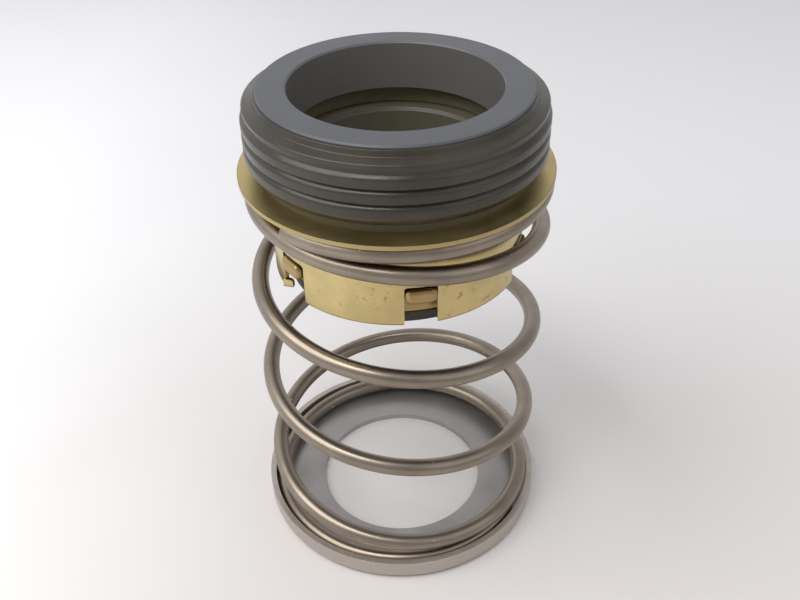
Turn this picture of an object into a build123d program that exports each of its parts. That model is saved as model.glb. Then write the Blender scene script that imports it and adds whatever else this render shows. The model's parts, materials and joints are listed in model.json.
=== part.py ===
from build123d import *

import math
import os

# Component (elastomer bellows) mechanical seal for a 25.4 mm shaft: a stamped spring
# holder, one coil spring, the rotating head with its brass retainer, carbon ring, rubber
# bellows and drive band, and the stationary seat in its ribbed rubber boot.
# Millimetres, +Z up, the origin on the floor under the middle of the spring holder.

# ---- driving sizes: the shaft and the radial stack outwards from it ----
shaft_radius = 12.7
tail_wall = 2.4                # rubber tail that grips the shaft, under the drive band
band_sheet = 0.5
band_to_skirt = 1.55
shell_sheet = 0.6              # drawn brass of the retainer
skirt_to_spring = 1.35
wire_diameter = 2.5
spring_to_rim = 0.15
rim_sheet = 0.9

# ---- driving sizes: the spring holder ----
holder_sheet = 1.0
holder_height = 3.65
holder_bore_clearance = 0.8
holder_outer_bend = 1.3
holder_inner_bend = 0.4
holder_edge_round = 0.25

# ---- driving sizes: the spring ----
spring_length = 60.0
spring_turns = 5.285
spring_seat_gap = 0.05
climb_per_turn = 5.6           # slope of a closed end as it leaves the seat
climb_start = 0.4              # in turns from the tip
climb_spread = 0.3
open_start = 1.02              # where the closed end opens into the active coils
open_spread = 0.25
tuck_depth = 0.8               # the second coil is drawn in under the top closed end
tuck_turn = 0.99
tuck_spread = 0.2
top_tip_angle = 226.5
points_per_turn = 16

# ---- driving sizes: the retainer ----
flange_overhang = 0.08         # how far the flange reaches past the spring's outside
flange_bend = 0.5
flange_edge_round = 0.22
skirt_length = 14.8
slot_angles = (279.4, 339.4)   # plain slots, each with another opposite
slot_width = 4.4
slot_depth = 5.9
slot_corner = 0.45
slot_foot_round = 0.25
ear_slot_angle = 216.8         # and opposite
ear_slot_width = 4.95
ear_length = 0.85
ear_height = 1.15
ear_bend_angle = 38.0
ear_root = 0.6
ear_round = 0.5

# ---- driving sizes: the primary ring ----
ring_bore_clearance = 0.6
nose_width = 3.3
nose_height = 0.3
collar_height = 1.3
collar_overhang = 0.75
spigot_length = 4.0
ring_edge_break = 0.25
bore_edge_break = 0.4

# ---- driving sizes: the bellows and its drive band ----
rubber_fit = 0.05              # gap all round between the bellows' cup and its neighbours
cup_wall = 0.8
cup_depth = 3.3
cup_floor = 2.0
cup_hole_step = 0.6            # the cup's hole stands this clear of the ring's bore
fold_wall = 0.6
fold_clearance = 0.35          # between the fold and the inside of the skirt
fold_round = 0.7
tail_lip_height = 1.7
tail_lead_in = 0.4
band_height = 6.0
band_recess = 0.5              # the band's foot above the skirt's foot
band_edge_round = 0.15
lug_height = 2.35
lug_reach = 0.62               # how far a lug stands out past the skirt
lug_side_gap = 0.1
lug_top_gap = 0.2
lug_corner_round = 0.9
lug_edge_round = 0.75

# ---- driving sizes: the seat ----
seat_bore_clearance = 1.5
seat_ring_width = 4.05
seat_ring_height = 6.85
seat_ring_break = 0.2
seat_ring_back_round = 0.8
boot_back = 2.85               # rubber behind the ring
boot_lip = 1.4                 # how far the back's hole stands clear of the ring's bore
boot_wall = 1.65               # at the bottom of the grooves
boot_edge_width = 0.25         # thin edge of the rubber round the ring
boot_edge_drop = 0.4
boot_collar_width = 0.2        # steep band below that edge
boot_collar_drop = 1.2
boot_shoulder_height = 0.2     # the shoulder stands this proud of the grooves
boot_shoulder_drop = 1.55
boot_shoulder_land = 0.55
boot_shoulder_round = 0.2
boot_heel = 0.8
rib_count = 3
rib_height = 0.55
rib_pitch = 2.0
rib_drop = 3.25                # first crest below the sealing face
rib_rise = 0.45
rib_land = 1.25
rib_undercut = 0.2
rib_top_round = 0.35
rib_under_round = 0.15

# ---- radii that follow ----
band_inner = shaft_radius + tail_wall
band_outer = band_inner + band_sheet
skirt_inner = band_outer + band_to_skirt
skirt_outer = skirt_inner + shell_sheet
spring_inner = skirt_outer + skirt_to_spring
coil_radius = spring_inner + wire_diameter / 2
spring_outer = spring_inner + wire_diameter
rim_inner = spring_outer + spring_to_rim
rim_outer = rim_inner + rim_sheet
holder_bore = shaft_radius + holder_bore_clearance
flange_outer = spring_outer + flange_overhang
ring_bore = shaft_radius + ring_bore_clearance
nose_outer = ring_bore + nose_width
collar_outer = skirt_outer + collar_overhang
cup_outer = skirt_inner - rubber_fit
cup_inner = cup_outer - cup_wall
cup_hole = ring_bore + cup_hole_step
spigot_outer = cup_inner - rubber_fit
fold_outer = skirt_inner - fold_clearance
fold_inner = fold_outer - fold_wall
seat_bore = shaft_radius + seat_bore_clearance
seat_ring_outer = seat_bore + seat_ring_width
boot_hole = seat_bore + boot_lip
rib_root = seat_ring_outer + boot_wall
rib_crest = rib_root + rib_height
boot_edge = seat_ring_outer + boot_edge_width
boot_shoulder = rib_root + boot_shoulder_height

# ---- heights that follow, from the floor up ----
spring_bottom = holder_sheet + spring_seat_gap
spring_top = spring_bottom + spring_length
flange_bottom = spring_top + spring_seat_gap
flange_top = flange_bottom + shell_sheet
collar_top = flange_top + collar_height
nose_top = collar_top + nose_height
seat_ring_bottom = nose_top + boot_back
seat_face = seat_ring_bottom + seat_ring_height
skirt_bottom = flange_top - skirt_length
slot_top = skirt_bottom + slot_depth
spigot_bottom = flange_top - spigot_length
cup_bottom = spigot_bottom - cup_floor
cup_top = spigot_bottom + cup_depth
band_bottom = skirt_bottom + band_recess
band_top = band_bottom + band_height
tail_top = band_top + fold_wall
tail_bottom = band_bottom - tail_lip_height
lug_middle = slot_top - lug_top_gap - lug_height / 2

# ---- spring holder: a shallow cup stamped from sheet ----
with BuildPart() as spring_holder:
    with BuildSketch(Plane.XZ) as holder_section:
        with BuildLine() as holder_line:
            Polyline(
                (holder_bore, 0),
                (rim_outer, 0),
                (rim_outer, holder_height),
                (rim_inner, holder_height),
                (rim_inner, holder_sheet),
                (holder_bore, holder_sheet),
                close=True,
            )
        make_face()
        corners = holder_section.vertices()
        fillet(corners.group_by(Axis.Y)[0].sort_by(Axis.X)[-1], holder_outer_bend)
        fillet(corners.group_by(Axis.Y)[1].sort_by(Axis.X)[-1], holder_inner_bend)
        fillet(corners.group_by(Axis.Y)[-1], holder_edge_round)
    revolve(axis=Axis.Z)
spring_holder.part.label = "spring_holder"


# ---- spring: left-hand coil with closed, unground ends ----
def ramp_drop(turns, start, spread):
    """Turns' worth of drop under a slope that grows smoothly from 0 to 1."""
    share = min(max((turns - start) / spread, 0.0), 1.0)
    return spread * (share**3 - share**4 / 2) + max(turns - start - spread, 0.0)


def end_ramps(turns):
    """Drop of the climb and of the open part, counted in turns from one tip."""
    climb = ramp_drop(turns, climb_start, climb_spread)
    opened = ramp_drop(turns, open_start, open_spread)
    return climb, opened


def spring_drop(turns):
    """How far the wire has come down after so many turns from the top tip."""
    half = spring_turns / 2
    climb, opened = end_ramps(min(turns, half))
    if turns > half:
        climb_end, opened_end = end_ramps(spring_turns - turns)
        climb = 2 * climb - climb_end
        opened = 2 * opened - opened_end
    return climb_per_turn * climb + (active_pitch - climb_per_turn) * opened


def wire_radius(turns):
    """Coil radius at the middle of the wire, drawn in for a moment at the tuck."""
    share = min(abs(turns - tuck_turn) / tuck_spread, 1.0)
    return coil_radius - tuck_depth * (1 - share**2) ** 2


climb_half, opened_half = end_ramps(spring_turns / 2)
wire_travel = spring_length - wire_diameter
active_pitch = climb_per_turn + (wire_travel - 2 * climb_per_turn * climb_half) / (2 * opened_half)
wire_points = []
for step in range(round(spring_turns * points_per_turn) + 1):
    turn = spring_turns * step / round(spring_turns * points_per_turn)
    angle = math.radians(top_tip_angle + 360 * turn)
    radius = wire_radius(turn)
    height = spring_top - wire_diameter / 2 - spring_drop(turn)
    wire_points.append((radius * math.cos(angle), radius * math.sin(angle), height))

with BuildPart() as spring:
    with BuildLine() as wire_line:
        Spline(*wire_points)
    with BuildSketch(Plane(origin=wire_line.line @ 0, z_dir=wire_line.line % 0)):
        Circle(wire_diameter / 2)
    sweep(path=wire_line.line)
spring.part.label = "spring"

# ---- retainer: drawn brass shell, a flange on a slotted skirt ----
def slot_cutter(width):
    """A cutter for one slot, open at the skirt's foot and rounded at its top corners."""
    with BuildPart() as cutter:
        with BuildSketch(Plane.YZ.offset(band_outer)) as slot_outline:
            with Locations((0, slot_top - slot_depth)):
                Rectangle(width, 2 * slot_depth)
            fillet(slot_outline.vertices().group_by(Axis.Y)[-1], slot_corner)
        extrude(amount=spring_outer - band_outer)
    return cutter.part


slot_tool = slot_cutter(slot_width)
ear_slot_tool = slot_cutter(ear_slot_width)
slot_edge_x = math.sqrt((skirt_inner + shell_sheet / 2) ** 2 - (ear_slot_width / 2) ** 2)
ear_lean = math.radians(ear_bend_angle)
ear_plane = Plane(
    origin=(slot_edge_x, -ear_slot_width / 2, skirt_bottom),
    x_dir=(-math.sin(ear_lean), math.cos(ear_lean), 0),
    z_dir=(math.cos(ear_lean), math.sin(ear_lean), 0),
)
with BuildPart() as ear_tool:
    with BuildSketch(ear_plane) as ear_outline:
        with Locations(((ear_length - ear_root) / 2, ear_height / 2)):
            Rectangle(ear_length + ear_root, ear_height)
        ear_tip = ear_outline.vertices().sort_by_distance((ear_length, ear_height))[0]
        fillet(ear_tip, ear_round)
    extrude(amount=shell_sheet / 2, both=True)

with BuildPart() as retainer:
    with BuildSketch(Plane.XZ) as retainer_section:
        with BuildLine() as retainer_line:
            Polyline(
                (skirt_inner, skirt_bottom),
                (skirt_outer, skirt_bottom),
                (skirt_outer, flange_bottom),
                (flange_outer, flange_bottom),
                (flange_outer, flange_top),
                (skirt_inner, flange_top),
                close=True,
            )
        make_face()
        top_corners = retainer_section.vertices().group_by(Axis.Y)[-1]
        under_corners = retainer_section.vertices().group_by(Axis.Y)[-2]
        fillet(top_corners.sort_by(Axis.X)[0], flange_bend)
        fillet(under_corners.sort_by(Axis.X)[0], flange_bend / 2)
        fillet(top_corners.sort_by(Axis.X)[-1], flange_edge_round)
        fillet(under_corners.sort_by(Axis.X)[-1], flange_edge_round)
    revolve(axis=Axis.Z)
    for slot_angle in slot_angles:
        with PolarLocations(0, 2, start_angle=slot_angle):
            add(slot_tool, mode=Mode.SUBTRACT)
    with PolarLocations(0, 2, start_angle=ear_slot_angle):
        add(ear_slot_tool, mode=Mode.SUBTRACT)
    fillet(retainer.edges().group_by(Axis.Z)[0].filter_by(GeomType.LINE), slot_foot_round)
    with PolarLocations(0, 2, start_angle=ear_slot_angle):
        add(ear_tool.part)
retainer.part.label = "retainer"

# ---- primary ring: carbon, a collar on the flange and a spigot down inside the skirt ----
with BuildPart() as primary_ring:
    with BuildSketch(Plane.XZ) as ring_section:
        with BuildLine() as ring_line:
            Polyline(
                (ring_bore, spigot_bottom),
                (spigot_outer, spigot_bottom),
                (spigot_outer, flange_top),
                (collar_outer, flange_top),
                (collar_outer, collar_top),
                (nose_outer, collar_top),
                (nose_outer, nose_top),
                (ring_bore, nose_top),
                close=True,
            )
        make_face()
        rows = ring_section.vertices().group_by(Axis.Y)
        chamfer(rows[-1].sort_by(Axis.X)[0], bore_edge_break)
        chamfer(rows[0].sort_by(Axis.X)[0], bore_edge_break)
        chamfer(rows[0].sort_by(Axis.X)[-1], ring_edge_break)
        chamfer(rows[2].sort_by(Axis.X)[-1], ring_edge_break)
    revolve(axis=Axis.Z)
primary_ring.part.label = "primary_ring"

# ---- bellows: rubber tail on the shaft, one fold, and a cup round the ring's spigot ----
with BuildPart() as bellows:
    with BuildSketch(Plane.XZ) as bellows_section:
        with BuildLine() as bellows_line:
            Polyline(
                (shaft_radius, tail_bottom),
                (band_outer, tail_bottom),
                (band_outer, band_bottom),
                (band_inner, band_bottom),
                (band_inner, band_top),
                (fold_outer, band_top),
                (fold_outer, cup_bottom),
                (cup_outer, cup_bottom),
                (cup_outer, cup_top),
                (cup_inner, cup_top),
                (cup_inner, spigot_bottom),
                (cup_hole, spigot_bottom),
                (cup_hole, cup_bottom),
                (fold_inner, cup_bottom),
                (fold_inner, tail_top),
                (shaft_radius, tail_top),
                close=True,
            )
        make_face()
        section_corners = bellows_section.vertices()
        chamfer(section_corners.sort_by_distance((shaft_radius, tail_bottom))[0], tail_lead_in)
        fillet(section_corners.sort_by_distance((fold_outer, band_top))[0], fold_round)
        fillet(section_corners.sort_by_distance((fold_inner, tail_top))[0], fold_round / 2)
        fillet(section_corners.sort_by_distance((fold_inner, cup_bottom))[0], fold_round / 2)
    revolve(axis=Axis.Z)
bellows.part.label = "bellows"

# ---- drive band: brass, with a lug pressed out into each of the retainer's slots ----
lug_far = skirt_outer + lug_reach
lug_root = band_inner + band_sheet / 3
lug_width = slot_width - 2 * lug_side_gap
with BuildPart() as lug_tool:
    with BuildSketch(Plane.YZ.offset(lug_root)):
        with Locations((0, lug_middle)):
            RectangleRounded(lug_width, lug_height, lug_corner_round)
    extrude(amount=lug_far - lug_root)
    fillet(lug_tool.faces().sort_by(Axis.X)[-1].edges(), lug_edge_round)

with BuildPart() as lug_pocket:
    with BuildSketch(Plane.YZ.offset(band_inner - band_sheet)):
        with Locations((0, lug_middle)):
            RectangleRounded(
                lug_width - 2 * band_sheet,
                lug_height - 2 * band_sheet,
                lug_corner_round - band_sheet,
            )
    extrude(amount=lug_far - band_inner)

with BuildPart() as drive_band:
    with BuildSketch(Plane.XZ) as band_section:
        with Locations(((band_inner + band_outer) / 2, (band_bottom + band_top) / 2)):
            Rectangle(band_sheet, band_height)
        fillet(band_section.vertices(), band_edge_round)
    revolve(axis=Axis.Z)
    for lug_angle in (*slot_angles, ear_slot_angle):
        with PolarLocations(0, 2, start_angle=lug_angle):
            add(lug_tool.part)
            add(lug_pocket.part, mode=Mode.SUBTRACT)
drive_band.part.label = "drive_band"

# ---- seat ring: the hard stationary face ----
with BuildPart() as seat_ring:
    with BuildSketch(Plane.XZ) as seat_section:
        with BuildLine() as seat_line:
            Polyline(
                (seat_bore, seat_ring_bottom),
                (seat_ring_outer, seat_ring_bottom),
                (seat_ring_outer, seat_face),
                (seat_bore, seat_face),
                close=True,
            )
        make_face()
        fillet(
            seat_section.vertices().group_by(Axis.Y)[0].sort_by(Axis.X)[-1],
            seat_ring_back_round,
        )
        chamfer(seat_section.vertices().group_by(Axis.Y)[-1], seat_ring_break)
    revolve(axis=Axis.Z)
seat_ring.part.label = "seat_ring"

# ---- seat boot: ribbed rubber round the ring's back and outside ----
rib_outline = []
for rib in range(rib_count):
    crest_top = seat_face - rib_drop - rib * rib_pitch
    rib_outline.append((rib_root, crest_top + rib_rise))
    rib_outline.append((rib_crest, crest_top))
    rib_outline.append((rib_crest, crest_top - rib_land))
    if rib < rib_count - 1:
        rib_outline.append((rib_root, crest_top - rib_land - rib_undercut))

with BuildPart() as seat_boot:
    with BuildSketch(Plane.XZ) as boot_section:
        with BuildLine() as boot_line:
            Polyline(
                (boot_hole, nose_top),
                (boot_hole, seat_ring_bottom),
                (seat_ring_outer, seat_ring_bottom),
                (seat_ring_outer, seat_face - boot_edge_drop),
                (boot_edge, seat_face - boot_edge_drop),
                (boot_edge + boot_collar_width, seat_face - boot_collar_drop),
                (boot_shoulder, seat_face - boot_shoulder_drop),
                (boot_shoulder, seat_face - boot_shoulder_drop - boot_shoulder_land),
                *rib_outline,
                (rib_crest - boot_heel, nose_top),
                close=True,
            )
        make_face()
        fillet(
            boot_section.vertices().sort_by_distance((seat_ring_outer, seat_ring_bottom))[0],
            seat_ring_back_round,
        )
        shoulder_tip = (boot_shoulder, seat_face - boot_shoulder_drop)
        fillet(boot_section.vertices().sort_by_distance(shoulder_tip)[0], boot_shoulder_round)
        crests = boot_section.vertices().group_by(Axis.X)[-1].sort_by(Axis.Y)
        fillet(crests[1::2], rib_top_round)
        fillet(crests[0::2], rib_under_round)
    revolve(axis=Axis.Z)
seat_boot.part.label = "seat_boot"

os.makedirs("parts", exist_ok=True)
for piece in (
    spring_holder,
    spring,
    retainer,
    primary_ring,
    bellows,
    drive_band,
    seat_ring,
    seat_boot,
):
    export_step(piece.part, f"parts/{piece.part.label}.step")
    print(piece.part.label, round(piece.part.volume, 1), piece.part.is_valid)
print("active pitch", round(active_pitch, 3))
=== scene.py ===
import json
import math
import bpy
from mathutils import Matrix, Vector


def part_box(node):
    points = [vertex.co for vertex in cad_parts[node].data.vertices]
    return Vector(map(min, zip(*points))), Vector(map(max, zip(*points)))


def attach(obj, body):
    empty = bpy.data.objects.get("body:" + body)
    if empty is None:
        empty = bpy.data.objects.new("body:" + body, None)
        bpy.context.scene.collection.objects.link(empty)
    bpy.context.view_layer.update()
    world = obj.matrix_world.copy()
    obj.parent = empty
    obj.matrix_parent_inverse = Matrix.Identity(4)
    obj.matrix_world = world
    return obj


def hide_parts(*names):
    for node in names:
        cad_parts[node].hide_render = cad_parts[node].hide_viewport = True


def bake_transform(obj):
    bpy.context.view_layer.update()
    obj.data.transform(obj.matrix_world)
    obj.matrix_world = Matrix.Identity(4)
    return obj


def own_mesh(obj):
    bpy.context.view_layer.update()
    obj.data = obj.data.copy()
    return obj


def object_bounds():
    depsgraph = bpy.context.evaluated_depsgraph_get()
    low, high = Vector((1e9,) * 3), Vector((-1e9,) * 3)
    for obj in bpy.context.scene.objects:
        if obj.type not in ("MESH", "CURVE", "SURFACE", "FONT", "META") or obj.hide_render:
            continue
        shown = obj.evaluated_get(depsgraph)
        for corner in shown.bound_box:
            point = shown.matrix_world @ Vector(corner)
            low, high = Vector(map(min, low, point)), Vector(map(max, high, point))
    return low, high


bl_info = {
    "name": "Bellows Shaft Seal",
    "version": (1, 0, 0),
    "blender": (4, 5, 0),
    "location": "3D View > Sidebar > Shaft Seal",
    "description": "Builds a component mechanical seal's spring, rubber parts and finishes",
    "category": "Object",
}

import bmesh
import bpy
from bpy.props import FloatProperty, FloatVectorProperty, IntProperty, PointerProperty
from mathutils import Matrix, Vector

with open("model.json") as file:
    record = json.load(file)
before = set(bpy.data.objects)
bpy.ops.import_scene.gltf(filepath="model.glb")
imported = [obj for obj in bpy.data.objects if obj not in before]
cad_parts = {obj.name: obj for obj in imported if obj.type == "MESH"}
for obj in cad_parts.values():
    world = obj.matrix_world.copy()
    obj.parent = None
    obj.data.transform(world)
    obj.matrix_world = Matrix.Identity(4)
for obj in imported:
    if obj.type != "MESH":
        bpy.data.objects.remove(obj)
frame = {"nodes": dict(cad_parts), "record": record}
cad_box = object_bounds()

MM = 0.001
FULL_TURN = 2 * math.pi

# Sizes of the solids in the frame that the new pieces and the finishes are fitted to.
MOUNTS = {mount["name"]: mount["dims"] for mount in frame["record"]["mounts"]}
SEAT_BORE = MOUNTS["seat_bore"]["r_mm"] * MM
RING_BORE = MOUNTS["ring_bore"]["r_mm"] * MM
SPRING_LOW, SPRING_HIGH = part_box("spring")
BOOT_LOW, BOOT_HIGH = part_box("seat_boot")
BELLOWS_LOW, BELLOWS_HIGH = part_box("bellows")
BAND_LOW, BAND_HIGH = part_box("drive_band")
SEAT_LOW, SEAT_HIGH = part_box("seat_ring")
HOLDER_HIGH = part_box("spring_holder")[1]
RING_LOW, RING_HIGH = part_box("primary_ring")
SHELL_LOW, SHELL_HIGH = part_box("retainer")


# ---------------------------------------------------------------- sizes and colours
# Each of these is a setting that the panel lists.


def number(name, description, default, **settings):
    return FloatProperty(name=name, description=description, default=default, **settings)


def length(name, description, default):
    return number(name, description, default, unit="LENGTH", precision=5)


def angle(name, description, default):
    return number(name, description, default, subtype="ANGLE", unit="ROTATION")


def triple(name, description, default, **settings):
    return FloatVectorProperty(
        name=name, description=description, default=default, size=3, **settings
    )


def position(name, description, default):
    return triple(name, description, default, subtype="TRANSLATION", unit="LENGTH")


def colour(name, description, default):
    return triple(name, description, default, subtype="COLOR", min=0, max=1)


class SpringSizes(bpy.types.PropertyGroup):
    wire: length("Wire", "Diameter of the spring wire", 2.5 * MM)
    coil_radius: length("Coil radius", "Radius of the coil at the middle of the wire", 20.35 * MM)
    turns: number("Turns", "Turns from tip to tip", 5.285, min=3)
    climb: length("Climb", "Rise per turn of a closed end as it leaves its seat", 5.6 * MM)
    climb_start: number("Climb start", "Turns from a tip to where it leaves its seat", 0.4)
    climb_spread: number("Climb spread", "Turns over which that slope grows", 0.3)
    open_start: number("Open start", "Turns from a tip to where the coils open", 1.02)
    open_spread: number("Open spread", "Turns over which they open", 0.25)
    tuck_depth: length("Tuck depth", "How far the second coil is drawn in", 0.8 * MM)
    tuck_turn: number("Tuck turn", "Turns from the top tip to the tuck", 0.99)
    tuck_spread: number("Tuck spread", "Turns over which the tuck fades", 0.2)
    tip_angle: angle("Top tip", "Where the top tip lies, from +X", math.radians(226.5))
    tip_break: length("Tip break", "Bevel round the cut tips", 0.22 * MM)
    rings_per_turn: IntProperty(
        name="Rings per turn", description="Sections of wire in one turn", default=112, min=24
    )


class BellowsSizes(bpy.types.PropertyGroup):
    shaft_radius: length("Shaft radius", "Radius of the tail's bore", 12.7 * MM)
    tail_radius: length("Tail radius", "Outside of the tail under the drive band", 15.1 * MM)
    lip_radius: length("Lip radius", "Outside of the tail's lip below the band", 15.6 * MM)
    cup_wall: length("Cup wall", "Rubber round the carbon ring's spigot", 0.8 * MM)
    cup_floor: length("Cup floor", "Rubber behind the carbon ring", 2.0 * MM)
    cup_hole: length("Cup hole", "Radius of the hole in the cup's floor", 13.9 * MM)
    fold_radius: length("Fold radius", "Outside of the fold", 16.8 * MM)
    fold_wall: length("Fold wall", "Thickness of the fold", 0.6 * MM)
    lead_in: length("Lead-in", "Bevel at the bore's lower edge", 0.4 * MM)
    lip_round: length("Lip round", "Rounding of the lip's lower edge", 0.35 * MM)
    seat_round: length("Band seat round", "Rounding of the lip's edge at the band", 0.15 * MM)
    crown_round: length("Crown round", "Outside rounding of the fold's foot", 0.9 * MM)
    inner_round: length("Inner round", "Rounding inside the fold", 0.35 * MM)
    cup_round: length("Cup round", "Rounding of the cup's outer edges", 0.2 * MM)
    sides: IntProperty(name="Sides", description="Facets round the axis", default=192, min=32)


class BootSizes(bpy.types.PropertyGroup):
    hole_radius: length("Back hole", "Radius of the hole in the boot's back", 15.6 * MM)
    pocket_radius: length("Pocket", "Radius of the pocket that holds the seat ring", 18.25 * MM)
    edge_radius: length("Edge", "Outside of the thin edge round the seat ring", 18.5 * MM)
    collar_radius: length("Collar", "Radius at the foot of the steep band", 18.7 * MM)
    collar_drop: length("Collar drop", "Drop from the sealing face to that foot", 1.2 * MM)
    shoulder_radius: length("Shoulder", "Radius of the shoulder above the ribs", 20.1 * MM)
    shoulder_drop: length("Shoulder drop", "Drop from the sealing face to the shoulder", 1.55 * MM)
    shoulder_land: length("Shoulder land", "Height of the shoulder's upright side", 0.55 * MM)
    root_radius: length("Rib root", "Radius between the ribs", 19.9 * MM)
    crest_radius: length("Rib crest", "Radius on top of the ribs", 20.45 * MM)
    rib_pitch: length("Rib pitch", "Height from one rib to the next", 2.0 * MM)
    first_drop: length("First rib", "Drop from the sealing face to the first crest", 3.25 * MM)
    rib_rise: length("Rib rise", "Height of a rib's upper slope", 0.45 * MM)
    rib_land: length("Rib land", "Height of a rib's flat crest", 1.25 * MM)
    undercut: length("Undercut", "Height of a rib's lower slope", 0.2 * MM)
    heel_step: length("Heel", "How far the heel lies inside the crests", 0.8 * MM)
    crest_round: length("Crest round", "Rounding on top of a rib", 0.30 * MM)
    under_round: length("Under round", "Rounding under a rib", 0.16 * MM)
    root_round: length("Root round", "Rounding at the foot of a rib", 0.045 * MM)
    back_round: length("Back round", "Rounding of the boot's back edges", 0.25 * MM)
    shoulder_round: length("Shoulder round", "Rounding on the shoulder", 0.22 * MM)
    foot_round: length("Foot round", "Rounding below the shoulder and the collar", 0.12 * MM)
    edge_round: length("Edge round", "Rounding of the thin edge", 0.09 * MM)
    pocket_round: length("Pocket round", "Rounding in the pocket's corner", 0.8 * MM)
    ribs: IntProperty(name="Ribs", description="Ribs round the boot", default=3, min=1)
    sides: IntProperty(name="Sides", description="Facets round the axis", default=224, min=32)


class Finishes(bpy.types.PropertyGroup):
    holder_steel: colour("Holder steel", "Pressed stainless sheet", (0.46, 0.445, 0.44))
    holder_rim: colour("Holder rim", "The holder's warmer rubbed rim", (0.46, 0.415, 0.37))
    spring_steel: colour("Spring wire", "Drawn wire with a brown cast", (0.295, 0.25, 0.203))
    yellow_brass: colour("Yellow brass", "The drawn shell", (0.58, 0.467, 0.226))
    red_brass: colour("Red brass", "The drive band", (0.42, 0.30, 0.135))
    stain: colour("Stain", "Tarnish on the brass", (0.20, 0.12, 0.045))
    carbon: colour("Carbon", "The primary ring", (0.095, 0.088, 0.056))
    # Painted light: an olive tint for the shaded hole in the seat boot's back, standing in for
    # reflected brass.
    painted_hole_light: colour("Carbon dust", "Dust in the hole of the seat boot", (0.135, 0.120, 0.068))
    bellows_rubber: colour("Bellows rubber", "Black rubber", (0.026, 0.021, 0.016))
    boot_rubber: colour("Boot rubber", "Dark grey rubber", (0.035, 0.030, 0.021))
    seat_grey: colour("Seat grey", "The lapped face of the seat ring", (0.076, 0.079, 0.091))
    # The bore is paler and warmer than the face: partly its plainer turned finish, partly painted
    # light that lifts the shade inside the bore.
    seat_bore: colour("Seat bore", "The seat ring's plain turned bore", (0.122, 0.120, 0.112))
    floor_near: colour("Floor near", "The pale table in front", (0.71, 0.675, 0.66))
    floor_far: colour("Floor far", "The pale table behind", (0.80, 0.80, 0.825))


class StageSizes(bpy.types.PropertyGroup):
    camera_back: length("Camera back", "Distance in front of the shaft axis", 110.45 * MM)
    camera_up: length("Camera up", "Height of the camera above the floor", 119.70 * MM)
    camera_dip: angle("Dip", "How far the camera looks down", 0.63778)
    camera_yaw: angle("Yaw", "Turn of the camera to the left", -0.00167)
    camera_roll: angle("Roll", "Lean of the camera", -0.0147)
    focal_length: number("Lens", "Focal length in millimetres", 40.547)
    window_place: position("Window place", "Where the window light stands", (-0.33, -0.12, 0.50))
    window_width: length("Window width", "Width of the window light", 0.42)
    window_power: number("Window power", "Power of the window light in watts", 1.9)
    window_tint: colour("Window tint", "Slightly warm daylight", (1.0, 0.985, 0.96))
    overhead_place: position("Overhead place", "Where the overhead light is", (-0.12, -0.24, 0.62))
    overhead_width: length("Overhead width", "Width of the overhead light", 0.20)
    overhead_power: number("Overhead power", "Power of the overhead light in watts", 0.8)
    overhead_tint: colour("Overhead tint", "Slightly warm white", (1.0, 0.99, 0.97))
    bounce_place: position("Bounce place", "Where the bounced light is", (0.45, -0.25, 0.40))
    bounce_width: length("Bounce width", "Width of the bounced light", 0.50)
    bounce_power: number("Bounce power", "Power of the bounced light in watts", 0.45)
    bounce_tint: colour("Bounce tint", "Slightly cool white", (0.97, 0.98, 1.0))
    sky_level: number("Sky level", "Level of the light from all round", 0.58)
    sky_tint: colour("Sky tint", "Pale wall", (0.93, 0.93, 0.94))
    floor_width: length("Floor", "Width of the floor", 6.0)


# ---------------------------------------------------------------- drawing with the mesh tools


def clear_selection():
    """Leaves edit mode and deselects everything, so that nothing else takes part."""
    if bpy.context.object and bpy.context.object.mode != "OBJECT":
        bpy.ops.object.mode_set(mode="OBJECT")
    bpy.ops.object.select_all(action="DESELECT")


def named(name):
    """Names the object just added, and its data."""
    piece = bpy.context.object
    piece.name = name
    piece.data.name = name
    return piece


def choose(piece, kind, wanted):
    """Selects the vertices, edges or faces that pass a test, in edit mode."""
    bpy.ops.mesh.select_all(action="DESELECT")
    bpy.ops.mesh.select_mode(type={"verts": "VERT", "edges": "EDGE", "faces": "FACE"}[kind])
    shape = bmesh.from_edit_mesh(piece.data)
    found = 0
    for element in getattr(shape, kind):
        if wanted(element):
            element.select_set(True)
            found += 1
    if not found:
        raise RuntimeError(f"{piece.name}: nothing to select among its {kind}")
    shape.select_flush_mode()
    bmesh.update_edit_mesh(piece.data)


def draw_section(name, points):
    """Draws a closed section of (radius, height) points, extruding a vertex between them."""
    clear_selection()
    bpy.ops.mesh.primitive_plane_add(size=MM, location=(0, 0, 0))
    piece = named(name)
    bpy.ops.object.mode_set(mode="EDIT")
    bpy.ops.mesh.select_mode(type="VERT")
    bpy.ops.mesh.merge(type="CENTER")
    here = Vector((0, 0))
    for index, point in enumerate(points):
        step = Vector(point) - here
        move = {"value": (step.x, 0, step.y)}
        if index == 0:
            bpy.ops.transform.translate(**move)
        else:
            bpy.ops.mesh.extrude_vertices_move(TRANSFORM_OT_translate=move)
        here = Vector(point)
    bpy.ops.mesh.select_all(action="SELECT")
    bpy.ops.mesh.edge_face_add()
    return piece


def round_corners(piece, corners, size, segments):
    """Rounds the section's corners at these (radius, height) points."""
    near = 0.02 * MM

    def at_corner(vertex):
        place = Vector((vertex.co.x, vertex.co.z))
        return any((place - Vector(corner)).length < near for corner in corners)

    choose(piece, "verts", at_corner)
    bpy.ops.mesh.bevel(offset=size, segments=segments, affect="VERTICES", profile=0.5)


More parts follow.
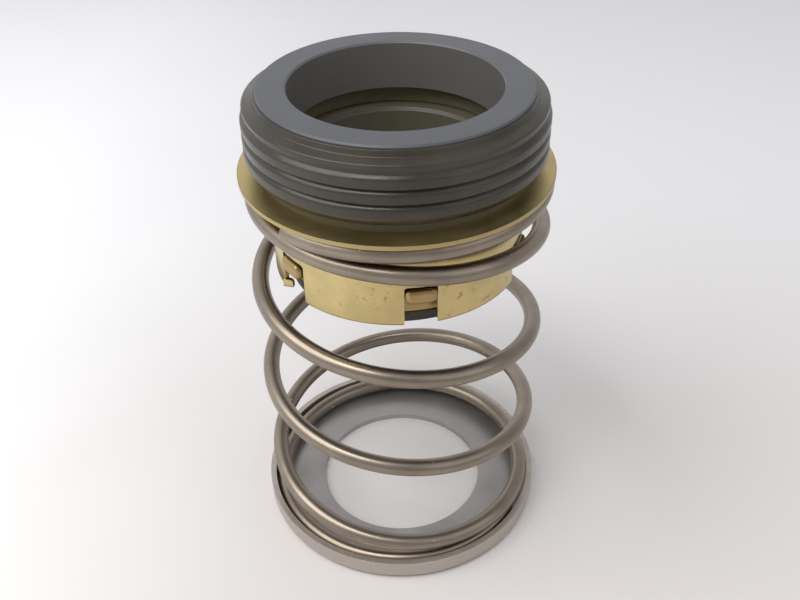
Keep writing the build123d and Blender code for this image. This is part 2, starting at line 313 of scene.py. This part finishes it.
def turn_section(piece, sides):
    """Turns the drawn section round the shaft axis into a closed ring."""
    bpy.ops.mesh.select_all(action="SELECT")
    bpy.ops.mesh.delete(type="ONLY_FACE")
    bpy.ops.mesh.select_all(action="SELECT")
    bpy.ops.mesh.spin(steps=sides, angle=FULL_TURN, center=(0, 0, 0), axis=(0, 0, 1))
    bpy.ops.mesh.select_all(action="SELECT")
    bpy.ops.mesh.remove_doubles(threshold=0.001 * MM)
    bpy.ops.mesh.normals_make_consistent(inside=False)
    bpy.ops.object.mode_set(mode="OBJECT")
    bpy.ops.object.shade_smooth_by_angle(angle=math.radians(32))


def give(piece, material):
    """Makes this the piece's only material."""
    piece.data.materials.clear()
    piece.data.materials.append(material)


# ---------------------------------------------------------------- finishes


class Finish:
    """A material under construction: nodes are added one by one and feed its surface shader.

    Patterns are counted in features per millimetre, and a relief's depth is in metres.
    """

    def __init__(self, name, base, metallic, roughness):
        self.material = bpy.data.materials.new(name)
        self.material.use_nodes = True
        self.tree = self.material.node_tree
        self.surface = self.tree.nodes["Principled BSDF"]
        self.surface.inputs["Base Color"].default_value = (*base, 1)
        self.surface.inputs["Metallic"].default_value = metallic
        self.surface.inputs["Roughness"].default_value = roughness
        self.place = self.add("ShaderNodeTexCoord").outputs["Object"]

    def add(self, kind, inputs=None, **settings):
        """Adds a node, with its settings and what each named input is fed."""
        node = self.tree.nodes.new(kind)
        for key, value in settings.items():
            setattr(node, key, value)
        for key, value in (inputs or {}).items():
            self.feed(node.inputs[key], value)
        return node

    def feed(self, socket, value):
        """Links the socket to another one, or sets it to a constant."""
        if isinstance(value, bpy.types.NodeSocket):
            self.tree.links.new(value, socket)
        else:
            socket.default_value = value

    def math(self, operation, first, second=0.0):
        return self.add("ShaderNodeMath", {0: first, 1: second}, operation=operation).outputs[0]

    def times(self, first, second):
        return self.math("MULTIPLY", first, second)

    def noise(self, where, per_mm, detail=4.0, rough=0.5):
        """Soft noise from 0 to 1, finer with more detail and harsher with more rough."""
        node = self.add(
            "ShaderNodeTexNoise",
            {"Vector": where, "Scale": per_mm / MM, "Detail": detail, "Roughness": rough},
        )
        return node.outputs["Fac"]

    def between(self, value, low, high, low_out=0.0, high_out=1.0):
        """Maps value smoothly from low..high to low_out..high_out."""
        span = {"From Min": low, "From Max": high, "To Min": low_out, "To Max": high_out}
        node = self.add(
            "ShaderNodeMapRange", {"Value": value, **span}, interpolation_type="SMOOTHSTEP"
        )
        return node.outputs["Result"]

    def blend(self, share, first, second):
        """Mixes two colours, each a tuple or a socket."""
        node = self.add("ShaderNodeMix", data_type="RGBA")
        self.feed(node.inputs[0], share)
        for socket, value in ((node.inputs[6], first), (node.inputs[7], second)):
            self.feed(socket, value if isinstance(value, bpy.types.NodeSocket) else (*value, 1))
        return node.outputs[2]

    def polar(self):
        """Radius, height and angle round the shaft axis, as three sockets."""
        parts = self.add("ShaderNodeSeparateXYZ", {"Vector": self.place})
        across, back, height = (parts.outputs[axis] for axis in "XYZ")
        flat = self.add("ShaderNodeCombineXYZ", {"X": across, "Y": back})
        radius = self.add("ShaderNodeVectorMath", {0: flat.outputs[0]}, operation="LENGTH")
        return radius.outputs["Value"], height, self.math("ARCTAN2", back, across)

    def turned_place(self, across, around):
        """A pattern space for turned surfaces: fine across the tool marks, long round the axis."""
        radius, height, turn = self.polar()
        scaled = {
            "X": self.times(radius, across),
            "Y": self.times(height, across),
            "Z": self.times(turn, around * MM),
        }
        return self.add("ShaderNodeCombineXYZ", scaled).outputs[0]

    def paint(self, share, first, second):
        """Colours the surface with a mix of two colours."""
        self.feed(self.surface.inputs["Base Color"], self.blend(share, first, second))

    def gloss(self, value):
        """Roughness from 0 for a mirror to 1 for chalk."""
        self.feed(self.surface.inputs["Roughness"], value)

    def relief(self, height, depth):
        """Adds bump of this depth from a 0 to 1 pattern."""
        node = self.add("ShaderNodeBump", {"Height": height, "Strength": 1.0, "Distance": depth})
        normal = self.surface.inputs["Normal"]
        if normal.links:
            self.feed(node.inputs["Normal"], normal.links[0].from_socket)
        self.feed(normal, node.outputs["Normal"])


def shade(base, factor):
    """The colour made lighter or darker, up to white."""
    return tuple(min(1.0, part * factor) for part in base)


def pressed_steel(finishes):
    """Satin stainless sheet: fine scuffs, dull smears and a warmer, paler worn rim."""
    base, rim_tone = tuple(finishes.holder_steel), tuple(finishes.holder_rim)
    finish = Finish("pressed_stainless", base, 0.7, 0.34)
    radius, height, _ = finish.polar()
    smear = finish.noise(finish.place, 0.12, 5, 0.6)
    scuff = finish.noise(finish.turned_place(2.2, 6), 1.0, 3)
    wear = finish.noise(finish.place, 0.5, 3)
    rim = finish.between(radius, HOLDER_HIGH.x - 2.0 * MM, HOLDER_HIGH.x - 0.9 * MM)
    lip = finish.between(height, HOLDER_HIGH.z - 0.5 * MM, HOLDER_HIGH.z - 0.1 * MM)
    worn = finish.times(lip, finish.between(wear, 0.25, 0.85))
    tone = finish.blend(finish.between(smear, 0.35, 0.68), shade(base, 0.90), shade(base, 1.06))
    finish.paint(worn, finish.blend(rim, tone, rim_tone), shade(rim_tone, 1.2))
    rough = finish.between(smear, 0.3, 0.7, 0.28, 0.40)
    finish.gloss(finish.math("SUBTRACT", rough, finish.times(worn, 0.12)))
    finish.relief(scuff, 0.004 * MM)
    finish.relief(finish.noise(finish.place, 0.25, 3), 0.02 * MM)
    return finish.material


def spring_wire_finish(finishes):
    """Drawn wire: long die lines along it, a brown cast and a few bright nicks."""
    base = tuple(finishes.spring_steel)
    finish = Finish("drawn_wire", base, 1.0, 0.36)
    wire_map = finish.add("ShaderNodeUVMap", uv_map="wire").outputs["UV"]
    stretched = finish.add("ShaderNodeMapping", {"Vector": wire_map, "Scale": (34.0, 60.0, 1.0)})
    lines = finish.add(
        "ShaderNodeTexNoise", {"Vector": stretched.outputs[0], "Scale": 1.0, "Detail": 3.0}
    ).outputs["Fac"]
    cast = finish.noise(finish.place, 0.16, 4)
    tone = finish.blend(finish.between(cast, 0.32, 0.70), shade(base, 0.88), shade(base, 1.08))
    nick = finish.between(finish.noise(finish.place, 0.95, 1), 0.775, 0.80)
    finish.paint(nick, tone, shade(base, 2.0))
    finish.gloss(finish.between(lines, 0.3, 0.7, 0.28, 0.40))
    finish.relief(lines, 0.006 * MM)
    finish.relief(finish.noise(finish.place, 0.9, 3), 0.008 * MM)
    return finish.material


def brass_finish(name, base, roughness, stain, stain_amount, foot_height, flange_height):
    """Drawn brass strip: draw lines, brown spots, a dark cut foot and a dull flange.

    Above flange_height the strip is bent out flat: it is duller there, painted light makes it
    paler, and painted shade darkens its outer edge.
    """
    finish = Finish(name, base, 1.0, roughness)
    radius, height, _ = finish.polar()
    draw_lines = finish.noise(finish.turned_place(0.5, 60), 1.6, 4)
    cloud = finish.noise(finish.place, 0.11, 5, 0.62)
    fine = finish.noise(finish.place, 0.55, 6, 0.7)
    tone = finish.blend(finish.between(cloud, 0.36, 0.66), shade(base, 0.84), shade(base, 1.05))
    stain_top, stain_fade = flange_height - 2 * MM, flange_height - 4 * MM
    spots = finish.times(finish.between(fine, 0.575, 0.69), finish.between(cloud, 0.45, 0.58))
    spots = finish.times(spots, finish.between(height, stain_fade, stain_top, stain_amount, 0.0))
    foot = finish.between(height, foot_height + 0.06 * MM, foot_height + 0.24 * MM, 0.75, 0.0)
    tarnished = finish.blend(foot, finish.blend(spots, tone, stain), stain)
    flange = finish.between(height, flange_height - 0.12 * MM, flange_height + 0.12 * MM)
    # Painted shade: the flange's outer edge is darkened.
    outer_edge = finish.between(radius, SHELL_HIGH.x - 0.16 * MM, SHELL_HIGH.x - 0.04 * MM)
    # Painted light: the flange is painted paler and plainer than the tarnished strip.
    painted_lit_flange_tone = finish.blend(flange, tarnished, shade(base, 1.05))
    finish.paint(outer_edge, painted_lit_flange_tone, shade(base, 0.75))
    rough = finish.between(cloud, 0.3, 0.7, roughness - 0.05, roughness + 0.07)
    rough = finish.math("ADD", rough, finish.times(flange, 0.17))
    finish.gloss(finish.math("ADD", rough, finish.times(spots, 0.25)))
    finish.relief(draw_lines, 0.006 * MM)
    finish.relief(finish.noise(finish.place, 0.14, 2), 0.05 * MM)
    return finish.material


def lapped_grey(finishes):
    """Seat ring: an even lapped grey with a whisper of grain, and a paler bore, partly its plainer
    turned finish and partly painted light in the bore's shade.
    """
    base = tuple(finishes.seat_grey)
    finish = Finish("lapped_seat", base, 0.0, 0.42)
    grain = finish.noise(finish.place, 3.0, 5, 0.65)
    cloud = finish.noise(finish.place, 0.09, 3)
    mixed = finish.math("ADD", finish.times(grain, 0.6), finish.times(cloud, 0.4))
    radius, _, _ = finish.polar()
    # The bore takes its own paler colour: partly turned finish, partly painted light in the bore's
    # shade.
    face = finish.between(radius, SEAT_BORE + 0.02 * MM, SEAT_BORE + 0.2 * MM)
    tone = finish.blend(finish.between(mixed, 0.35, 0.65), shade(base, 0.93), shade(base, 1.07))
    finish.paint(face, tuple(finishes.seat_bore), tone)
    finish.gloss(finish.between(cloud, 0.3, 0.7, 0.36, 0.46))
    finish.relief(finish.noise(finish.turned_place(3.0, 3), 1.0, 2), 0.0015 * MM)
    return finish.material


def carbon_finish(finishes):
    """Primary ring: turned carbon, a lapped nose, and painted shade that darkens the broken edge
    round its bore.
    """
    base = tuple(finishes.carbon)
    finish = Finish("turned_carbon", base, 0.0, 0.40)
    rings = finish.noise(finish.turned_place(3.5, 2), 1.0, 2)
    grain = finish.noise(finish.place, 2.2, 4, 0.6)
    radius, height, _ = finish.polar()
    nose = finish.between(height, RING_HIGH.z - 0.06 * MM, RING_HIGH.z - 0.02 * MM)
    # Painted shade: the small chamfer round the bore is darkened so that it catches less light.
    painted_bore_edge_shade = finish.times(
        finish.between(radius, RING_BORE + 0.02 * MM, RING_BORE + 0.08 * MM),
        finish.between(radius, RING_BORE + 0.35 * MM, RING_BORE + 0.45 * MM, 1.0, 0.0),
    )
    tone = finish.blend(finish.between(grain, 0.30, 0.72), shade(base, 0.98), shade(base, 1.10))
    finish.paint(painted_bore_edge_shade, tone, shade(base, 0.45))
    rough = finish.between(grain, 0.3, 0.7, 0.44, 0.50)
    finish.gloss(finish.math("SUBTRACT", rough, finish.times(nose, 0.12)))
    finish.relief(rings, 0.0015 * MM)
    return finish.material


def rubber_finish(name, base, roughness, bloom, hole_light_tint=None, hole_light_radius=0.0):
    """Moulded rubber: soft pebbling, a dull bloom, and, when given, painted light: an olive tint
    inside a radius that lightens the shade of a hole.
    """
    finish = Finish(name, base, 0.0, roughness)
    pebble = finish.noise(finish.place, 2.6, 5, 0.62)
    patch = finish.noise(finish.place, 0.16, 4)
    speck = finish.between(finish.noise(finish.place, 1.7, 2), 0.70, 0.76)
    bloomed = finish.between(patch, 0.34, 0.68)
    tone = finish.blend(bloomed, shade(base, 0.86), shade(base, 1.0 + bloom))
    # Painted light: inside the radius the rubber takes an olive tint that stands in for brass
    # reflected into the hole's shade.
    if hole_light_tint:
        radius, _, _ = finish.polar()
        full, none = hole_light_radius + 0.05 * MM, hole_light_radius + 0.3 * MM
        tone = finish.blend(finish.between(radius, full, none, 1.0, 0.0), tone, hole_light_tint)
    finish.paint(finish.times(speck, 0.35), tone, shade(base, 2.4))
    finish.gloss(finish.between(patch, 0.3, 0.7, roughness - 0.06, roughness + 0.08))
    finish.relief(pebble, 0.010 * MM)
    finish.relief(finish.noise(finish.turned_place(0.9, 30), 1.0, 3), 0.012 * MM)
    return finish.material


def floor_finish(finishes):
    """Pale painted table, warmer near the front; painted light brightens it to the left and
    painted shade dims it far behind.
    """
    near, far = tuple(finishes.floor_near), tuple(finishes.floor_far)
    near_line, far_line = -50 * MM, 150 * MM
    left_line, right_line = -100 * MM, 10 * MM
    dim_start, dim_end = 120 * MM, 480 * MM
    finish = Finish("pale_table", near, 0.0, 0.62)
    parts = finish.add("ShaderNodeSeparateXYZ", {"Vector": finish.place})
    across, behind = parts.outputs["X"], parts.outputs["Y"]
    cloud = finish.times(finish.noise(finish.place, 0.02, 3), 30 * MM)
    # The near and far tones differ in warmth and, as painted light, in brightness.
    back = finish.between(finish.math("ADD", behind, cloud), near_line, far_line)
    right = finish.between(finish.math("ADD", across, cloud), left_line, right_line)
    # Painted shade: the floor dims far behind.
    painted_far_shade = finish.between(behind, dim_start, dim_end)
    # Painted light: the left side of the floor is made brighter, as if the window lit it.
    painted_lit_left_tone = finish.blend(back, shade(near, 1.58), shade(far, 1.20))
    tone = finish.blend(right, painted_lit_left_tone, finish.blend(back, near, far))
    finish.paint(painted_far_shade, tone, shade(far, 0.90))
    return finish.material


# ---------------------------------------------------------------- the pieces


def ramp_drop(turns, start, spread):
    """Turns' worth of drop under a slope that grows smoothly from 0 to 1."""
    share = min(max((turns - start) / spread, 0.0), 1.0)
    return spread * (share**3 - share**4 / 2) + max(turns - start - spread, 0.0)


def end_ramps(sizes, turns):
    """Drop of the climbing and of the open part of the wire, in turns from one tip."""
    climb = ramp_drop(turns, sizes.climb_start, sizes.climb_spread)
    opened = ramp_drop(turns, sizes.open_start, sizes.open_spread)
    return climb, opened


def wire_radius(sizes, turns):
    """Coil radius at the middle of the wire, drawn in for a moment at the tuck."""
    share = min(abs(turns - sizes.tuck_turn) / sizes.tuck_spread, 1.0)
    return sizes.coil_radius - sizes.tuck_depth * (1 - share**2) ** 2


def wire_path(sizes):
    """Points down the middle of the wire, from the top tip to the bottom one."""
    half = sizes.turns / 2
    climb_half, open_half = end_ramps(sizes, half)
    travel = SPRING_HIGH.z - SPRING_LOW.z - sizes.wire
    open_pitch = sizes.climb + (travel - 2 * sizes.climb * climb_half) / (2 * open_half)
    rings = round(sizes.turns * sizes.rings_per_turn)
    points = []
    for ring in range(rings + 1):
        turn = sizes.turns * ring / rings
        climb, opened = end_ramps(sizes, min(turn, sizes.turns - turn))
        if turn > half:
            climb, opened = 2 * climb_half - climb, 2 * open_half - opened
        drop = sizes.climb * climb + (open_pitch - sizes.climb) * opened
        bearing = sizes.tip_angle + FULL_TURN * turn
        radius = wire_radius(sizes, turn)
        height = SPRING_HIGH.z - sizes.wire / 2 - drop
        points.append(Vector((radius * math.cos(bearing), radius * math.sin(bearing), height)))
    return points


class SEAL_OT_spring(bpy.types.Operator):
    """Coils the left-hand spring with its closed, plainly cut ends"""

    bl_idname = "seal.spring"
    bl_label = "Spring"

    def execute(self, context):
        scene = context.scene
        sizes = scene.seal_spring
        clear_selection()
        bpy.ops.curve.primitive_nurbs_path_add(location=(0, 0, 0))
        piece = named("spring_wire")
        wire = piece.data
        wire.splines.clear()
        line = wire.splines.new("POLY")
        path = wire_path(sizes)
        line.points.add(len(path) - 1)
        for point, place in zip(line.points, path):
            point.co = (*place, 1)
        wire.dimensions = "3D"
        wire.bevel_depth = sizes.wire / 2
        wire.bevel_resolution = 12
        wire.use_fill_caps = True
        bpy.ops.object.convert(target="MESH")
        piece = named("spring_wire")
        piece.data.uv_layers[0].name = "wire"
        bpy.ops.object.mode_set(mode="EDIT")
        bpy.ops.mesh.select_all(action="SELECT")
        bpy.ops.mesh.remove_doubles(threshold=0.002 * MM)
        bpy.ops.mesh.normals_make_consistent(inside=False)
        tips = ((path[0], path[1]), (path[-1], path[-2]))

        def on_tip(face):
            for tip, inward in tips:
                outward = (tip - inward).normalized()
                beside = (face.calc_center_median() - tip).length < sizes.wire
                if beside and face.normal.dot(outward) > 0.9:
                    return True
            return False

        choose(piece, "faces", on_tip)
        bpy.ops.mesh.region_to_loop()
        bpy.ops.mesh.bevel(offset=sizes.tip_break, segments=3, affect="EDGES")
        bpy.ops.object.mode_set(mode="OBJECT")
        bpy.ops.object.shade_smooth_by_angle(angle=math.radians(40))
        give(piece, spring_wire_finish(scene.seal_finishes))
        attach(piece, "base")
        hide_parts("spring")
        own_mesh(piece)
        return {"FINISHED"}


class SEAL_OT_bellows(bpy.types.Operator):
    """Turns the rubber bellows: a tail for the shaft, one fold and a cup for the carbon ring"""

    bl_idname = "seal.bellows"
    bl_label = "Bellows"

    def execute(self, context):
        scene = context.scene
        sizes = scene.seal_bellows
        bottom, cup_top, cup_outer = BELLOWS_LOW.z, BELLOWS_HIGH.z, BELLOWS_HIGH.x
        spigot_bottom = RING_LOW.z
        cup_bottom = spigot_bottom - sizes.cup_floor
        cup_inner = cup_outer - sizes.cup_wall
        tail_top = BAND_HIGH.z + sizes.fold_wall
        fold_inner = sizes.fold_radius - sizes.fold_wall
        piece = draw_section(
            "bellows_rubber",
            [
                (sizes.shaft_radius + sizes.lead_in, bottom),
                (sizes.lip_radius, bottom),
                (sizes.lip_radius, BAND_LOW.z),
                (sizes.tail_radius, BAND_LOW.z),
                (sizes.tail_radius, BAND_HIGH.z),
                (sizes.fold_radius, BAND_HIGH.z),
                (sizes.fold_radius, cup_bottom),
                (cup_outer, cup_bottom),
                (cup_outer, cup_top),
                (cup_inner, cup_top),
                (cup_inner, spigot_bottom),
                (sizes.cup_hole, spigot_bottom),
                (sizes.cup_hole, cup_bottom),
                (fold_inner, cup_bottom),
                (fold_inner, tail_top),
                (sizes.shaft_radius, tail_top),
                (sizes.shaft_radius, bottom + sizes.lead_in),
            ],
        )
        inner_corners = [(fold_inner, tail_top), (fold_inner, cup_bottom)]
        cup_corners = [(cup_outer, cup_bottom), (cup_outer, cup_top)]
        round_corners(piece, [(sizes.lip_radius, bottom)], sizes.lip_round, 5)
        round_corners(piece, [(sizes.lip_radius, BAND_LOW.z)], sizes.seat_round, 3)
        round_corners(piece, [(sizes.fold_radius, BAND_HIGH.z)], sizes.crown_round, 8)
        round_corners(piece, inner_corners, sizes.inner_round, 5)
        round_corners(piece, cup_corners, sizes.cup_round, 4)
        turn_section(piece, sizes.sides)
        black = tuple(scene.seal_finishes.bellows_rubber)
        give(piece, rubber_finish("bellows_black", black, 0.48, 0.5))
        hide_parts("bellows")
        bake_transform(piece)
        return {"FINISHED"}


class SEAL_OT_seat_boot(bpy.types.Operator):
    """Moulds the ribbed rubber boot round the seat ring"""

    bl_idname = "seal.seat_boot"
    bl_label = "Seat boot"

    def execute(self, context):
        scene = context.scene
        sizes = scene.seal_boot
        back, face = BOOT_LOW.z, SEAT_HIGH.z
        shoulder = face - sizes.shoulder_drop
        shoulder_tip = (sizes.shoulder_radius, shoulder)
        shoulder_foot = (sizes.shoulder_radius, shoulder - sizes.shoulder_land)
        collar_foot = (sizes.collar_radius, face - sizes.collar_drop)
        edge = (sizes.edge_radius, BOOT_HIGH.z)
        outline = [
            (sizes.hole_radius, back),
            (sizes.hole_radius, SEAT_LOW.z),
            (sizes.pocket_radius, SEAT_LOW.z),
            (sizes.pocket_radius, BOOT_HIGH.z),
            edge,
            collar_foot,
            shoulder_tip,
            shoulder_foot,
        ]
        tops, unders, roots = [], [], []
        for rib in range(sizes.ribs):
            top = face - sizes.first_drop - rib * sizes.rib_pitch
            roots.append((sizes.root_radius, top + sizes.rib_rise))
            tops.append((sizes.crest_radius, top))
            unders.append((sizes.crest_radius, top - sizes.rib_land))
            outline += [roots[-1], tops[-1], unders[-1]]
            if rib < sizes.ribs - 1:
                roots.append((sizes.root_radius, top - sizes.rib_land - sizes.undercut))
                outline.append(roots[-1])
        heel = (sizes.crest_radius - sizes.heel_step, back)
        outline.append(heel)
        piece = draw_section("seat_boot_rubber", outline)
        round_corners(piece, tops, sizes.crest_round, 7)
        round_corners(piece, unders, sizes.under_round, 5)
        round_corners(piece, roots, sizes.root_round, 2)
        round_corners(piece, [heel, outline[0]], sizes.back_round, 4)
        round_corners(piece, [shoulder_tip], sizes.shoulder_round, 6)
        round_corners(piece, [shoulder_foot, collar_foot], sizes.foot_round, 3)
        round_corners(piece, [edge], sizes.edge_round, 3)
        round_corners(piece, [(sizes.pocket_radius, SEAT_LOW.z)], sizes.pocket_round, 6)
        turn_section(piece, sizes.sides)
        finishes = scene.seal_finishes
        # The boot's back hole gets painted light, an olive tint that lightens its shade.
        grey, hole_light_tint = tuple(finishes.boot_rubber), tuple(finishes.painted_hole_light)
        give(piece, rubber_finish("boot_grey", grey, 0.30, 0.25, hole_light_tint, sizes.hole_radius))
        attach(piece, "seat")
        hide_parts("seat_boot")
        return {"FINISHED"}


class SEAL_OT_pressings(bpy.types.Operator):
    """Finishes the pressed sheet parts: the spring holder, the brass shell and the drive band"""

    bl_idname = "seal.pressings"
    bl_label = "Pressed parts"

    def execute(self, context):
        finishes, nodes = context.scene.seal_finishes, frame["nodes"]
        yellow, red = tuple(finishes.yellow_brass), tuple(finishes.red_brass)
        stain = tuple(finishes.stain)
        flange_height = SHELL_HIGH.z - 0.5 * MM
        shell = brass_finish(
            "yellow_brass", yellow, 0.24, stain, 0.75, SHELL_LOW.z, flange_height
        )
        band = brass_finish("red_brass", red, 0.34, stain, 0.5, BAND_LOW.z, BAND_HIGH.z)
        give(nodes["spring_holder"], pressed_steel(finishes))
        give(nodes["retainer"], shell)
        give(nodes["drive_band"], band)
        return {"FINISHED"}


class SEAL_OT_rings(bpy.types.Operator):
    """Finishes the two turned rings: the hard seat and the carbon primary ring"""

    bl_idname = "seal.rings"
    bl_label = "Turned rings"

    def execute(self, context):
        finishes, nodes = context.scene.seal_finishes, frame["nodes"]
        give(nodes["seat_ring"], lapped_grey(finishes))
        give(nodes["primary_ring"], carbon_finish(finishes))
        return {"FINISHED"}


# ---------------------------------------------------------------- the stage


def lamp(name, place, target, size, power, tint):
    """A soft square light that faces its target."""
    clear_selection()
    bpy.ops.object.light_add(type="AREA", location=place)
    light = named(name)
    light.data.shape = "SQUARE"
    light.data.size = size
    light.data.energy = power
    light.data.color = tint
    light.rotation_euler = (target - Vector(place)).to_track_quat("-Z", "Y").to_euler()


def room_light(level, tint):
    """Light from all round; metal sees pale walls that dim overhead and to the near right."""
    dim_side = (0.6, -0.5, 1.0)
    reflected_range = {"From Min": -0.4, "From Max": 0.9, "To Min": 1.05, "To Max": 0.45}
    world = bpy.data.worlds.new("pale_room")
    bpy.context.scene.world = world
    world.use_nodes = True
    nodes, links = world.node_tree.nodes, world.node_tree.links
    background = nodes["Background"]
    background.inputs["Color"].default_value = (*tint, 1)
    rays = nodes.new("ShaderNodeLightPath")
    direction = nodes.new("ShaderNodeTexCoord")
    facing = nodes.new("ShaderNodeVectorMath")
    facing.operation = "DOT_PRODUCT"
    facing.inputs[1].default_value = dim_side
    links.new(direction.outputs["Generated"], facing.inputs[0])
    walls = nodes.new("ShaderNodeMapRange")
    walls.interpolation_type = "SMOOTHSTEP"
    for name, value in reflected_range.items():
        walls.inputs[name].default_value = value
    links.new(facing.outputs["Value"], walls.inputs["Value"])
    reflected = nodes.new("ShaderNodeMix")
    links.new(rays.outputs["Is Glossy Ray"], reflected.inputs[0])
    reflected.inputs[2].default_value = level
    links.new(walls.outputs["Result"], reflected.inputs[3])
    seen = nodes.new("ShaderNodeMix")
    links.new(rays.outputs["Is Camera Ray"], seen.inputs[0])
    links.new(reflected.outputs[0], seen.inputs[2])
    seen.inputs[3].default_value = 1.0
    links.new(seen.outputs[0], background.inputs["Strength"])


class SEAL_OT_stage(bpy.types.Operator):
    """Lays the pale floor and sets the soft lights and the camera"""

    bl_idname = "seal.stage"
    bl_label = "Stage"

    def execute(self, context):
        scene = context.scene
        stage, finishes = scene.seal_stage, scene.seal_finishes
        clear_selection()
        bpy.ops.mesh.primitive_plane_add(size=stage.floor_width, location=(0, 0, 0))
        floor = named("floor")
        give(floor, floor_finish(finishes))
        middle = (cad_box[0] + cad_box[1]) / 2
        for name in ("window", "overhead", "bounce"):
            place, width, power, tint = (
                getattr(stage, f"{name}_{part}") for part in ("place", "width", "power", "tint")
            )
            lamp(name, place, middle, width, power, tint)
        room_light(stage.sky_level, stage.sky_tint)

        clear_selection()
        bpy.ops.object.camera_add(location=(0, -stage.camera_back, stage.camera_up))
        camera = named("camera")
        turn = Matrix.Rotation(stage.camera_yaw, 3, "Z")
        dip = Matrix.Rotation(math.pi / 2 - stage.camera_dip, 3, "X")
        lean = Matrix.Rotation(stage.camera_roll, 3, "Z")
        camera.rotation_euler = (turn @ dip @ lean).to_euler()
        camera.data.lens = stage.focal_length
        camera.data.sensor_width = 36.0
        camera.data.clip_start = 0.005
        scene.camera = camera
        scene.view_settings.view_transform = "Standard"
        return {"FINISHED"}


class SEAL_PT_panel(bpy.types.Panel):
    """Lists the seal's sizes and the steps that build it"""

    bl_idname = "SEAL_PT_panel"
    bl_label = "Shaft Seal"
    bl_space_type = "VIEW_3D"
    bl_region_type = "UI"
    bl_category = "Shaft Seal"

    def draw(self, context):
        for group in SETTINGS:
            box = self.layout.box()
            box.label(text=group.removeprefix("seal_").title())
            settings = getattr(context.scene, group)
            for name in settings.bl_rna.properties.keys():
                if name not in {"rna_type", "name"}:
                    box.prop(settings, name)
        for step in STEPS:
            self.layout.operator(step.bl_idname)


SETTINGS = {
    "seal_spring": SpringSizes,
    "seal_bellows": BellowsSizes,
    "seal_boot": BootSizes,
    "seal_finishes": Finishes,
    "seal_stage": StageSizes,
}
STEPS = (
    SEAL_OT_spring,
    SEAL_OT_bellows,
    SEAL_OT_seat_boot,
    SEAL_OT_pressings,
    SEAL_OT_rings,
    SEAL_OT_stage,
)
CLASSES = (*SETTINGS.values(), *STEPS, SEAL_PT_panel)


def register():
    for each in CLASSES:
        bpy.utils.register_class(each)
    for name, group in SETTINGS.items():
        setattr(bpy.types.Scene, name, PointerProperty(type=group))


def unregister():
    for name in SETTINGS:
        delattr(bpy.types.Scene, name)
    for each in reversed(CLASSES):
        bpy.utils.unregister_class(each)


def main():
    register()
    bpy.ops.seal.spring()
    bpy.ops.seal.bellows()
    bpy.ops.seal.seat_boot()
    bpy.ops.seal.pressings()
    bpy.ops.seal.rings()
    bpy.ops.seal.stage()


if __name__ == "__main__":
    main()
